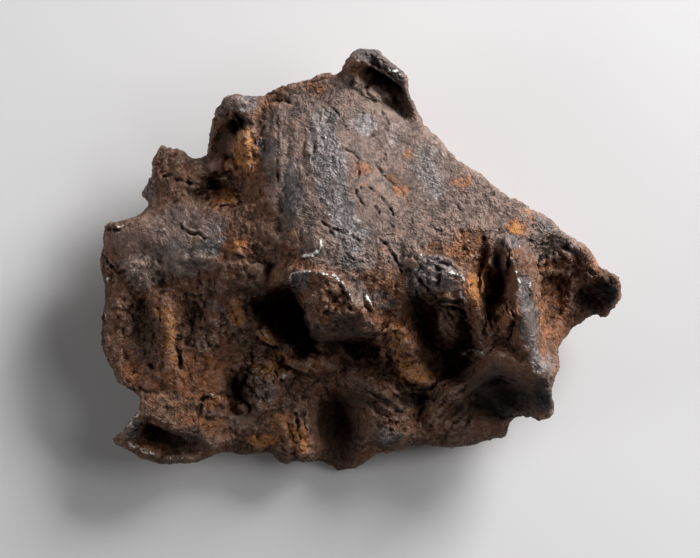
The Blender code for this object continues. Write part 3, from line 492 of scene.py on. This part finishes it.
RUST = [
    (245, 146, 15, 26, 0, 1.7), (240, 168, 26, 16, 0, 0.9), (225, 197, 20, 15, 0, 1.2),
    (175, 392, 50, 26, 0, 0.4), (200, 420, 40, 14, 10, 0.6), (150, 345, 50, 60, 0, 0.35),
    (241, 250, 16, 16, 0, 1.3), (165, 312, 14, 16, 0, 1.1), (171, 342, 10, 34, 0, 1.0),
    (237, 313, 12, 22, -25, 1.4), (269, 338, 16, 12, 35, 1.8), (200, 375, 44, 32, 0, 0.65),
    (128, 372, 18, 18, 0, 0.6), (222, 401, 28, 11, 0, 1.2), (264, 366, 22, 7, 10, 0.9),
    (262, 440, 28, 10, 0, 1.4), (301, 441, 15, 21, 0, 1.7), (288, 424, 18, 20, 0, 0.9),
    (478, 278, 12, 32, 10, 1.6), (474, 308, 12, 40, -10, 0.8), (515, 229, 15, 9, 10, 1.4),
    (470, 242, 30, 26, 0, 0.5), (550, 310, 30, 60, 0, 0.55), (548, 262, 16, 14, 0, 0.5),
    (500, 318, 18, 24, 0, 1.1), (394, 338, 34, 36, 0, 1.2), (414, 374, 32, 20, 20, 1.5),
    (386, 290, 14, 20, 0, 0.55), (296, 246, 24, 24, 0, 0.5), (318, 90, 24, 12, 0, 0.6),
    (388, 416, 18, 8, 20, 0.6), (436, 250, 34, 12, 0, 0.5), (384, 258, 16, 32, -15, 0.4),
    (326, 308, 15, 17, 0, 0.9), (258, 420, 40, 30, 0, 0.35), (592, 266, 10, 14, 0, 0.6),
    (296, 364, 46, 18, 5, 1.1), (150, 448, 30, 9, 14, 0.6), (266, 374, 26, 10, 20, 1.0),
    (210, 340, 30, 30, 0, 0.3), (340, 380, 20, 14, 0, 0.4), (520, 212, 24, 12, 35, 0.4),
    (372, 180, 30, 50, -20, 0.25), (462, 182, 18, 13, 10, 0.6), (398, 184, 13, 26, -22, 0.55),
    (408, 155, 10, 9, 0, 0.5), (360, 166, 16, 12, 0, 0.35), (152, 170, 20, 20, 0, 0.2),
    (470, 395, 34, 12, -35, 0.3), (540, 352, 8, 22, -20, 0.4), (120, 340, 16, 30, 0, 0.2),
]
# Painted shade, with some grime: darker where hollows, overhangs, shadowed faces and the foot of
# the lump fall in shade.
SHADE_AND_SOOT = [
    (280, 322, 22, 24, 0, 0.35), (438, 350, 32, 38, 0, 0.6), (390, 78, 26, 13, 42, 1.0),
    (348, 326, 24, 20, 0, 0.9), (308, 334, 20, 16, 0, 1.2), (297, 312, 9, 30, -15, 1.1),
    (608, 286, 18, 22, 0, 0.9), (528, 300, 14, 66, -6, 0.45), (520, 240, 18, 18, 0, 0.3),
    (290, 115, 28, 40, 0, 0.25), (544, 392, 14, 28, 0, 0.6), (165, 457, 52, 9, 6, 0.5),
    (245, 458, 60, 9, 0, 0.5), (330, 464, 52, 10, 0, 0.5), (420, 444, 46, 8, -3, 0.5),
    (500, 436, 26, 8, -10, 0.5), (405, 100, 8, 22, -25, 0.8), (239, 122, 11, 16, 0, 1.0),
    (225, 140, 12, 24, 0, 0.7), (211, 186, 13, 7, 0, 0.5), (499, 278, 13, 26, 0, 0.3),
    (500, 340, 12, 9, 0, 0.5), (505, 394, 68, 34, 10, 1.1), (338, 430, 34, 44, 0, 0.9),
    (368, 398, 36, 20, 20, 0.8), (410, 402, 28, 10, 10, 0.9), (140, 330, 24, 40, -10, 0.6),
    (234, 392, 7, 20, -20, 0.9), (180, 438, 46, 13, 8, 1.0), (332, 343, 44, 8, 0, 0.8),
    (352, 372, 26, 10, 0, 0.3), (598, 300, 28, 24, 0, 1.0), (187, 330, 13, 26, 0, 0.6),
    (268, 120, 8, 30, 0, 0.15), (364, 56, 24, 9, 10, 0.5), (390, 360, 8, 14, 0, 0.7),
    (480, 412, 44, 14, 0, 0.6), (245, 288, 34, 10, 10, 0.4), (420, 302, 16, 10, 30, 0.5),
]

# Where thin metal is rubbed bright, and painted highlights on edges and ledges that catch the
# light: (amount, width in steps, line).
BRIGHT = [
    (1.0, 1.7, [(316, 273), (324, 273), (332, 275)]),
    (1.0, 1.9, [(332, 275), (340, 280), (345, 286)]),
    (0.9, 1.7, [(345, 286), (350, 295), (354, 302)]),
    (0.9, 1.8, [(297, 291), (293, 286), (290, 280), (292, 274), (300, 271), (311, 271)]),
    (1.1, 2.8, [(322, 240), (320, 249), (316, 254)]),
    (1.1, 3.0, [(316, 254), (309, 256), (303, 257)]),
    (1.0, 2.0, [(367, 294), (368, 299), (370, 305)]),
    (0.7, 1.6, [(371, 288), (368, 292)]),
    (0.7, 2.0, [(421, 254), (420, 261)]),
    (0.7, 3.2, [(417, 264), (421, 272), (428, 279)]),
    (1.0, 2.4, [(450, 273), (456, 273), (460, 275), (464, 280)]),
    (1.0, 2.0, [(459, 291), (461, 297), (467, 303)]),
    (0.9, 2.2, [(465, 353), (470, 350), (477, 351), (483, 354)]),
    (0.9, 2.0, [(511, 258), (513, 264)]),
    (1.0, 2.2, [(515, 270), (517, 279), (519, 283)]),
    (0.7, 1.8, [(516, 241), (519, 246)]),
    (0.6, 1.8, [(530, 281), (529, 288)]),
    (0.9, 2.4, [(388, 70), (392, 74), (396, 71)]),
    (0.8, 1.8, [(400, 76), (406, 80)]),
    (0.6, 1.8, [(376, 56), (380, 62)]),
    (1.2, 2.6, [(240, 109), (244, 111)]),
    (0.7, 1.6, [(231, 108), (234, 108)]),
    (0.9, 1.5, [(214, 178), (221, 179), (228, 178)]),
    (0.9, 2.0, [(117, 227), (123, 225)]),
    (0.7, 1.8, [(104, 224), (107, 222)]),
    (0.8, 1.4, [(192, 232), (201, 232)]),
    (0.7, 1.6, [(108, 274), (109, 283)]),
    (0.8, 1.6, [(104, 313), (105, 319)]),
    (0.8, 2.6, [(139, 411), (134, 419), (129, 426)]),
    (0.7, 1.8, [(129, 444), (140, 451), (152, 455)]),
    (0.5, 1.8, [(165, 248), (168, 249)]),
    (0.6, 2.2, [(210, 242), (216, 245)]),
    (0.7, 1.8, [(160, 228), (164, 229)]),
    (0.8, 2.6, [(252, 370), (256, 377)]),
    (0.6, 3.4, [(250, 365), (262, 371), (275, 379), (288, 376)]),
    (0.6, 2.8, [(234, 370), (240, 377)]),
    (0.5, 3.0, [(262, 334), (270, 340)]),
    (0.5, 2.6, [(205, 392), (216, 395), (224, 401), (238, 405)]),
    (0.5, 2.2, [(368, 408), (376, 414), (388, 420)]),
    (0.5, 2.0, [(425, 299), (446, 302), (462, 304)]),
    (0.5, 1.8, [(431, 325), (440, 338), (450, 347), (462, 350)]),
    (0.5, 1.8, [(469, 316), (476, 332), (484, 346)]),
    (0.5, 2.0, [(487, 303), (496, 300), (507, 298)]),
    (0.4, 2.4, [(487, 354), (505, 357), (520, 363), (535, 372)]),
    (0.5, 2.0, [(134, 444), (148, 452), (168, 458), (192, 459)]),
    (0.5, 1.6, [(346, 77), (349, 86)]),
    (0.7, 1.6, [(318, 115), (321, 115)]),
    (0.8, 1.5, [(324, 137), (327, 139)]),
    (0.7, 1.6, [(349, 233), (352, 233)]),
    (0.8, 1.8, [(325, 197), (326, 201)]),
    (0.7, 1.8, [(328, 216), (331, 218)]),
    (0.7, 1.8, [(346, 196), (349, 199)]),
    (0.6, 1.8, [(371, 261), (376, 269)]),
    (0.6, 1.6, [(448, 235), (449, 239)]),
    (0.6, 1.6, [(378, 434), (384, 439)]),
    (0.5, 1.6, [(238, 299), (254, 300)]),
]


BULGE_SPAN = 6  # rounds of averaging that give the even skin a bulge is measured from


def finish_amounts(lump):
    """Writes where each finish, the painted shade and the painted highlights show into the mesh,
    as one number for each vertex.
    """
    place = survey(lump)
    shares = {}
    painted_masks = {"scale": SCALE, "steel": STEEL, "rust": RUST, "shade_and_soot": SHADE_AND_SOOT}
    for name, spots in painted_masks.items():
        amount = np.zeros(len(place.points))
        for u, v, across, along, turn, strength in spots:
            amount += strength * near_oval(place, u, v, across, along, turn)
        shares[name] = np.clip(amount, 0, 1.5)
    bright = np.zeros(len(place.points))
    for strength, width, path in BRIGHT:
        near, gap = near_line(place, path, width)
        shine = strength * np.clip(1.5 * (1 - gap / width), 0, 1) * place.seen[near]
        bright[near] = np.maximum(bright[near], shine)
    shares["bright"] = bright
    # painted shade along the cracks and the shadowed edges of flakes, written into the soot mask
    for _, width, path in CRACKS:
        near, gap = near_line(place, path, width)
        crack_shade = 1.2 * np.clip(1 - gap / width, 0, 1) * place.seen[near]
        shares["shade_and_soot"][near] = np.maximum(shares["shade_and_soot"][near], crack_shade)
    shares["rough"] = roughness_of(place)
    even = spread(place.points, place.edges, BULGE_SPAN)
    bulge = ((place.points - even) * place.normals).sum(1) / MM
    shares["bulge"] = np.clip(spread(bulge, place.edges, 1), -0.5, 0.5)
    for name, values in shares.items():
        attribute = lump.data.attributes.new(name, "FLOAT", "POINT")
        attribute.data.foreach_set("value", values.astype(np.float32))


class Shades:
    """A material's nodes, written down in the order that they are worked out."""

    def __init__(self, name):
        self.material = bpy.data.materials.new(name)
        self.material.use_nodes = True
        self.tree = self.material.node_tree
        self.shader = self.tree.nodes["Principled BSDF"]

    def add(self, kind, inputs=(), **settings):
        made = self.tree.nodes.new("ShaderNode" + kind)
        for name, value in settings.items():
            setattr(made, name, value)
        for key, value in dict(inputs).items():
            self.plug(made.inputs[key], value)
        return made

    def plug(self, socket, value):
        if isinstance(value, bpy.types.NodeSocket):
            self.tree.links.new(value, socket)
        else:
            socket.default_value = value

    def math(self, operation, *values, clamp=False):
        made = self.add("Math", enumerate(values), operation=operation, use_clamp=clamp)
        return made.outputs[0]

    def shifted(self, name, pattern, swing):
        """A painted amount, moved up and down by a pattern so that its edge breaks up."""
        moved = self.math("MULTIPLY_ADD", pattern, swing, -swing / 2)
        return self.math("ADD", self.amount(name), moved)

    def blend(self, share, below, above):
        made = self.add("Mix", data_type="RGBA")
        for index, value in ((0, share), (6, below), (7, above)):
            self.plug(made.inputs[index], value)
        return made.outputs[2]

    def amount(self, name):
        return self.add("Attribute", attribute_name=name).outputs["Fac"]

    def ramp(self, value, low, high):
        """0 up to the low value, 1 from the high one on, and smooth between them."""
        made = self.add("MapRange", {"Value": value, "From Min": low, "From Max": high})
        made.interpolation_type = "SMOOTHSTEP"
        return made.outputs["Result"]

    def noise(self, where, size, detail=4.0, rough=0.6, twist=0.0):
        """Noise about 0 to 1 in patches of this size, in millimetres."""
        made = self.add("TexNoise", {"Vector": where, "Scale": 1 / size, "Distortion": twist})
        made.inputs["Detail"].default_value = detail
        made.inputs["Roughness"].default_value = rough
        return made.outputs["Fac"]


# The colours of the metal and of what covers it, and of the painted shade and highlights.
DARK_TORN = (0.075, 0.034, 0.020, 1)
WARM_TORN = (0.235, 0.120, 0.072, 1)
RED_TORN = (0.200, 0.078, 0.036, 1)
DARK_SCALE = (0.105, 0.072, 0.060, 1)
PINK_SCALE = (0.255, 0.178, 0.148, 1)
STAINED_SCALE = (0.240, 0.120, 0.080, 1)
DARK_STEEL = (0.075, 0.067, 0.070, 1)
GREY_STEEL = (0.215, 0.198, 0.203, 1)
DARK_RUST = (0.150, 0.048, 0.018, 1)
ORANGE_RUST = (0.370, 0.148, 0.060, 1)
THICK_RUST = (0.620, 0.255, 0.055, 1)
# painted shade for the pits and hollows
PIT_SHADE = (0.024, 0.012, 0.008, 1)
# painted highlight for what stands proud
CREST_HIGHLIGHT = (0.320, 0.220, 0.170, 1)
SPECK = (0.022, 0.013, 0.009, 1)
# pale crumbs that are painted glints
PAINTED_GLINT = (0.420, 0.310, 0.240, 1)
# painted shade, with some grime
SHADE_AND_GRIME = (0.014, 0.009, 0.007, 1)
# bare metal, and painted highlights
BARE_METAL_AND_HIGHLIGHT = (0.86, 0.83, 0.80, 1)


def rusted_iron():
    """Chocolate-brown scale over dark metal, orange rust in the hollows, bright torn rims, with
    painted shade in the hollows and painted highlights on edges and crests.
    """
    s = Shades("rusted_iron")
    coords = s.add("TexCoord").outputs["Object"]
    where = s.add("Mapping", {"Vector": coords, "Scale": (1000, 1000, 1000)}).outputs[0]
    broad = s.noise(where, 16, 4)
    patchy = s.noise(where, 5.5, 5, 0.6, 1.2)
    fine = s.noise(where, 1.6, 3, 0.65, 0.4)
    tiny = s.noise(where, 0.8, 1, 0.7)
    broken = s.math("ADD", s.math("MULTIPLY", patchy, 0.65), s.math("MULTIPLY", fine, 0.35))

    # torn metal: dark chocolate to warm brown
    torn = s.blend(s.ramp(broken, 0.38, 0.62), DARK_TORN, WARM_TORN)
    reddish = s.math("MULTIPLY", s.ramp(broad, 0.44, 0.56), 0.6)
    torn = s.blend(reddish, torn, RED_TORN)

    # the smooth scale on the old outer face: pinkish brown
    smooth = s.blend(s.ramp(broken, 0.38, 0.62), DARK_SCALE, PINK_SCALE)
    stained = s.math("MULTIPLY", s.ramp(patchy, 0.54, 0.68), 0.7)
    smooth = s.blend(stained, smooth, STAINED_SCALE)
    colour = s.blend(s.ramp(s.shifted("scale", broken, 1.0), 0.30, 0.70), torn, smooth)

    # grey steel where the scale has come away
    steel_share = s.ramp(s.shifted("steel", broken, 2.2), 0.25, 0.75)
    steel = s.blend(s.ramp(fine, 0.34, 0.66), DARK_STEEL, GREY_STEEL)
    colour = s.blend(s.math("MULTIPLY", steel_share, 0.85), colour, steel)

    # orange rust, yellower where it is thick
    rusty = s.math("MULTIPLY", s.ramp(s.shifted("rust", broken, 1.6), 0.32, 0.72), 0.85)
    rust = s.blend(s.ramp(broken, 0.38, 0.60), DARK_RUST, ORANGE_RUST)
    thick = s.math("MULTIPLY", s.ramp(s.shifted("rust", patchy, 0.8), 1.05, 1.30), 0.6)
    rust = s.blend(thick, rust, THICK_RUST)
    colour = s.blend(rusty, colour, rust)

    # painted shade in the pits and hollows and a painted highlight on what stands proud
    bulge = s.amount("bulge")
    pit_shade = s.math("MULTIPLY", s.ramp(bulge, -0.04, -0.30), 0.75)
    colour = s.blend(pit_shade, colour, PIT_SHADE)
    crest_highlight = s.math("MULTIPLY", s.ramp(bulge, 0.06, 0.28), 0.45)
    colour = s.blend(crest_highlight, colour, CREST_HIGHLIGHT)
    # dark specks in the grain, and pale crumbs that are painted glints, more where the skin is
    # rough
    speck_and_glint_strength = s.math("MULTIPLY_ADD", s.amount("rough"), 0.35, 0.20)
    specks = s.math("MULTIPLY", s.ramp(fine, 0.41, 0.31), speck_and_glint_strength, clamp=True)
    colour = s.blend(specks, colour, SPECK)
    glints = s.math("MULTIPLY", s.ramp(fine, 0.57, 0.70), speck_and_glint_strength, clamp=True)
    colour = s.blend(glints, colour, PAINTED_GLINT)
    # painted shade where hollows, overhangs and shadowed faces fall dark, with some grime
    shade_and_soot_share = s.math("MULTIPLY", s.amount("shade_and_soot"), 0.75, clamp=True)
    colour = s.blend(shade_and_soot_share, colour, SHADE_AND_GRIME)

    # bare metal, and painted highlights on edges that catch the light
    bare_and_highlit = s.ramp(s.shifted("bright", fine, 2.2), 0.55, 0.90)
    colour = s.blend(bare_and_highlit, colour, BARE_METAL_AND_HIGHLIGHT)
    s.plug(s.shader.inputs["Base Color"], colour)

    metal = s.math("MAXIMUM", s.math("MULTIPLY", steel_share, 0.30), s.math("MULTIPLY", bare_and_highlit, 0.6))
    s.plug(s.shader.inputs["Metallic"], metal)
    dull = s.math("MULTIPLY_ADD", steel_share, -0.20, 0.66)
    s.plug(s.shader.inputs["Roughness"], s.math("MULTIPLY_ADD", bare_and_highlit, -0.15, dull))
    s.shader.inputs["Specular IOR Level"].default_value = 0.3

    # the grain of the rust, deeper where the skin is rough
    grain = s.math("ADD", fine, s.math("MULTIPLY", tiny, 0.45))
    worn = s.ramp(s.noise(where, 9, 3, 0.6, 1.0), 0.36, 0.60)
    roughened = s.math("MULTIPLY_ADD", s.amount("rough"), 0.7, 0.2)
    depth = s.math("MULTIPLY", roughened, s.math("MULTIPLY_ADD", worn, 0.7, 0.4))
    relief = s.math("MULTIPLY", grain, depth)
    bump = s.add("Bump", {"Height": relief, "Strength": 1.0, "Distance": 0.0016})
    s.plug(s.shader.inputs["Normal"], bump.outputs["Normal"])
    return s.material


fragment = rough_casting()
ease_the_facets(fragment)
work_the_skin(fragment)
thin_out(fragment)
finish_amounts(fragment)
fragment.data.shade_smooth()
fragment.data.materials.append(rusted_iron())
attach(fragment, "root")
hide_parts("meteorite")


# ---------------------------------------------------------------- the floor
#
# A smooth painted board, pale and matt, that the fragment lies on. It is far larger than the
# view, so no edge of it shows.

FLOOR_SIZE = 8.0

floor_mesh = bmesh.new()
bmesh.ops.create_grid(floor_mesh, x_segments=1, y_segments=1, size=FLOOR_SIZE / 2)
floor_sheet = bpy.data.meshes.new("floor")
floor_mesh.to_mesh(floor_sheet)
floor_mesh.free()
floor = bpy.data.objects.new("floor", floor_sheet)
bpy.context.scene.collection.objects.link(floor)
paint = Shades("matt_paint")
paint.shader.inputs["Base Color"].default_value = (0.765, 0.755, 0.760, 1)
paint.shader.inputs["Roughness"].default_value = 1.0
paint.shader.inputs["Specular IOR Level"].default_value = 0.0
floor_sheet.materials.append(paint.material)


# ---------------------------------------------------------------- lights
#
# One large soft lamp low behind on the right, a weaker one higher up on the right, and a faint
# fill from the left.

WORLD_LIGHT = 0.012
LAMP_DISTANCE = 1.6

world = bpy.data.worlds.new("studio")
world.use_nodes = True
world.node_tree.nodes["Background"].inputs["Color"].default_value = (1, 1, 1, 1)
world.node_tree.nodes["Background"].inputs["Strength"].default_value = WORLD_LIGHT
bpy.context.scene.world = world

# name: azimuth from +X and elevation in degrees, size in metres, watts
LAMPS = {
    "key": (46, 24, 0.72, 44.5),
    "second": (12, 42, 0.90, 8.0),
    "fill": (186, 22, 0.80, 6.8),
}

for name, (azimuth, elevation, size, watts) in LAMPS.items():
    lamp = bpy.data.lights.new(name, "AREA")
    lamp.size = size
    lamp.energy = watts
    holder = bpy.data.objects.new(name, lamp)
    bpy.context.scene.collection.objects.link(holder)
    around, up = math.radians(azimuth), math.radians(elevation)
    away = Vector((math.cos(around) * math.cos(up), math.sin(around) * math.cos(up), math.sin(up)))
    holder.location = away * LAMP_DISTANCE
    holder.rotation_euler = (-away).to_track_quat("-Z", "Y").to_euler()
    holder.visible_camera = False


# ---------------------------------------------------------------- the camera
#
# Straight above the fragment, on a long lens.

VIEW_WIDTH = 700  # steps of the plan across the picture
VIEW_MIDDLE = (350.0, 279.0)
LENS = 600.0
SENSOR = 36.0
TRUE_HEIGHT = 0.030  # the height at which the plan is shown at its true size

camera = bpy.data.cameras.new("camera")
camera.lens = LENS
camera.sensor_width = SENSOR
camera.clip_end = 50
stand = bpy.data.objects.new("camera", camera)
stand.location = (
    (VIEW_MIDDLE[0] - PLAN_MIDDLE[0]) * STEP,
    (PLAN_MIDDLE[1] - VIEW_MIDDLE[1]) * STEP,
    TRUE_HEIGHT + VIEW_WIDTH * STEP * LENS / SENSOR,
)
bpy.context.scene.collection.objects.link(stand)
bpy.context.scene.camera = stand
bpy.context.scene.view_settings.view_transform = "Standard"
